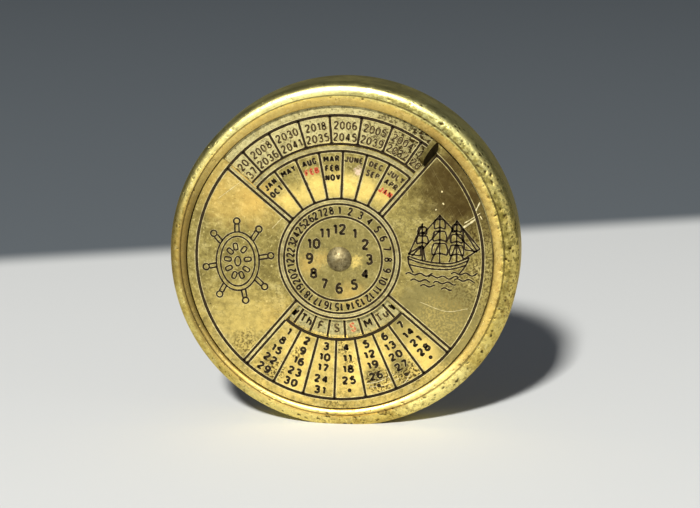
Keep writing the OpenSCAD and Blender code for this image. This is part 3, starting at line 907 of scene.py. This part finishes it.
# A tall ship under way, bow to the right: masts (x, foot, top), square sails (x, foot, head, half
# width), three-cornered sails, hull and rigging lines, and waves (start, end, level)
ship = {
    "masts": "16.8,-0.2,7.6 20.3,-0.7,9.4 23.7,-0.4,8.4",
    "squares": "20.3,1.1,3.5,1.5 20.3,3.9,6,1.3 20.3,6.4,8.4,1.05 23.7,1,3.2,1.35 "
               "23.7,3.6,5.4,1.15 23.7,5.8,7.4,0.9 16.8,3.3,5,1.1 16.8,5.3,6.8,0.85",
    "head": 0.8, "belly": 1.05, "sag": 0.35,
    "triangles": ("24.9,6.6 27.9,1.9 25.3,2.3", "16.4,2.9 13.9,1.2 16.5,0.9"),
    "lines": ("13.9,0.8 16.5,0 19.6,-0.5 22.8,-0.5 26.3,0.7",
              "13.9,0.3 16.6,-0.6 19.7,-1.1 22.9,-1.1 26.1,0.1",
              "14.1,-0.9 17,-1.5 19.8,-1.8 22.8,-1.7 25.6,-0.9",
              "13.9,0.8 14.1,-0.9 15,-2.6", "26.3,0.7 25.4,-1.2 24.2,-2.7",
              "25.2,0.4 28.4,2.5", "23.7,8.2 28.4,2.5", "23.7,5.4 27.4,1.8", "16.8,7.4 14,1",
              "20.3,9.2 16.8,5.2", "20.3,9.2 23.7,5.6", "20.3,6.2 16.8,2.2",
              "23.7,8.2 21.6,3.6", "16.8,3.1 14.6,0.8", "18.6,-0.2 20.2,3.6",
              "22.2,-0.3 23.6,3.4", "17.4,0 16.9,3", "25.1,0.3 23.9,3.3"),
    "waves": "13.4,18.9,-2.9 18,24.2,-3.4 22.6,28,-2.7 14.4,18.4,-4.2 19,23.6,-4.6 "
             "23.2,27.4,-4 16.4,19.4,-5.3 20.6,22.8,-5.9",
}


def shipStrokes(s):
    # straight and smooth lines, and waves y = level + 0.24 sin(2.6 x) + 0.12 sin(1.1 x)
    paths = [curvePath(spots(line)) for line in s["lines"]]
    paths += [curvePath([(x, low), (x, high)]) for x, low, high in spots(s["masts"])]
    for x, low, high, half in spots(s["squares"]):
        head, belly = half * s["head"], half * s["belly"]
        paths += [curvePath([(x - head, high), (x + head, high)]),
                  curvePath([(x - half, low), (x, low + s["sag"]), (x + half, low)])]
        paths += [curvePath([(x + sign * head, high), (x + sign * belly, (low + high) / 2),
                             (x + sign * half, low)]) for sign in (-1, 1)]
    for corners in map(spots, s["triangles"]):
        paths += [curvePath([a, b]) for a, b in zip(corners, np.roll(corners, -1, 0))]
    for start, end, level in spots(s["waves"]):
        x = np.linspace(start, end, 40)
        paths.append(np.stack([x, level + 0.24 * np.sin((x - start) * 2.6)
                               + 0.12 * np.sin((x - start) * 1.1)], -1))
    return [(path, False) for path in paths]


drawStrokes("ship_drawing", shipStrokes(ship))
dotReach = (dates["dot"] / 2, 0)
dotParts = [barAlong(curvePath([p - dotReach, p + dotReach], 0.05), dates["dot"], drawing["low"],
                     drawing["high"], roundEnds=True) for p in dotPlaces]
addBars("plate_dots", dotParts, blackEnamel, onPlate)

# Scratches and chips that show bare metal: each is a path and its width
scratches = {"top": 0.009, "wobble": 0.5, "paths": (
    ("24.5,6.5 26.2,7.6 28,9", 0.36), ("25.2,7.7 26.8,8.7 28.4,9.8", 0.18),
    ("27.5,10.3 27.9,11.1 28.3,12", 0.22), ("28.4,9.2 28.8,8.5", 0.18),
    ("20.6,13.9 20.8,14.2", 0.4), ("20.85,11.5 21.1,11.7", 0.36), ("19.4,10.2 19.6,10.5", 0.3),
    ("5.6,-25.7 8,-25.2 11.2,-23.6", 0.14), ("6.2,-26.4 9.4,-25.9 12.2,-24.4", 0.12),
    ("12.2,-26.3 13.6,-25 14.4,-23.4", 0.12), ("-24.5,12 -20,15.4", 0.09),
    ("-13.6,6 -10.9,8.9", 0.09), ("16.4,-8.6 21.6,-10.4 26,-9.8", 0.1))}
scratchParts = [barAlong(curvePath(spots(text)), width, -lines["sunk"], scratches["top"],
                         scratches["wobble"], roundEnds=True)
                for text, width in scratches["paths"]]
addBars("plate_scratches", scratchParts, chipBrass, onPlate)
print("stage: drawings engraved")

# The edge of the pale floor passes the place "edgeAt" (m), turned from x by "edgeTurn"; past it the
# floor is painted dark as painted shade
stageLook = {"floor": paint(208, 211, 214), "ground": paint(97, 104, 111), "edgeTurn": 24,
             "edgeAt": (0.006, 0.217), "edgeSoft": 0.012, "reach": 3.0, "rough": 0.9,
             "worldLight": (0.82, 0.89, 1.0), "worldStrength": 0.08}


def floorLook(spec):
    # pale paper, with painted shade on the ground past a soft edge: share = smooth step of (place -
    # edgeAt) . n
    look, shader, place = startLook("floorPaperPaintedShade")
    n = polar(1, spec["edgeTurn"] + 90)
    along = measured("DOT_PRODUCT", place, (*n, 0))
    start = 1000 * float(n @ (np.array(spec["edgeAt"]) - dialCentre[:2]))
    soft = 1000 * spec["edgeSoft"]
    feed(shader, "Base Color", mixed(remap(along, start - soft, start + soft), spec["floor"],
                                     spec["ground"]))
    shader.inputs["Roughness"].default_value = spec["rough"]
    shader.inputs["Specular IOR Level"].default_value = 0.0
    return look


reach = stageLook["reach"]
floorMesh = bpy.data.meshes.new("floor")
floorMesh.from_pydata([(-reach, -reach, 0), (reach, -reach, 0), (reach, reach, 0),
                       (-reach, reach, 0)], [], [[0, 1, 2, 3]])
floorMesh.materials.append(floorLook(stageLook))
floor = linked("floor", floorMesh)

world = bpy.data.worlds.new("studio")
bpy.context.scene.world = world
world.use_nodes = True
background = world.node_tree.nodes["Background"]
background.inputs["Color"].default_value = (*stageLook["worldLight"], 1)
background.inputs["Strength"].default_value = stageLook["worldStrength"]

# Lamps and camera look at the dial's centre from an azimuth and elevation in degrees, and the
# camera is moved right and up (m) from there
lamps = {"key": {"from": (-6.8, 31), "far": 3.2, "size": 0.25, "power": 208,
                 "colour": (1.0, 0.97, 0.9)},
         "fill": {"from": (62, 16), "far": 1.2, "size": 0.8, "power": 0.9,
                  "colour": (1.0, 0.96, 0.86)}}
view = {"from": (5.5, 10.5), "far": 0.62, "right": 0.00217, "up": 0.00097, "lens": 158.0,
        "clip": (0.01, 20)}


def aimed(name, data, spec):
    azimuth, elevation = (radians(v) for v in spec["from"])
    away = Vector((sin(azimuth) * cos(elevation), -cos(azimuth) * cos(elevation),
                   sin(elevation)))
    right = Vector((cos(azimuth), sin(azimuth), 0))
    thing = linked(name, data)
    thing.rotation_mode = "QUATERNION"
    thing.rotation_quaternion = (-away).to_track_quat("-Z", "Y")
    thing.location = (Vector(dialCentre) + away * spec["far"] + right * spec.get("right", 0)
                      + away.cross(right) * spec.get("up", 0))
    return thing


for lampName, spec in lamps.items():
    light = bpy.data.lights.new(lampName, "AREA")
    light.size, light.energy, light.color = spec["size"], spec["power"], spec["colour"]
    aimed(lampName, light, spec)

camera = aimed("camera", bpy.data.cameras.new("camera"), view)
camera.data.lens = view["lens"]
camera.data.clip_start, camera.data.clip_end = view["clip"]
bpy.context.scene.camera = camera
bpy.context.scene.view_settings.view_transform = "Standard"
print("stage: light and camera set")
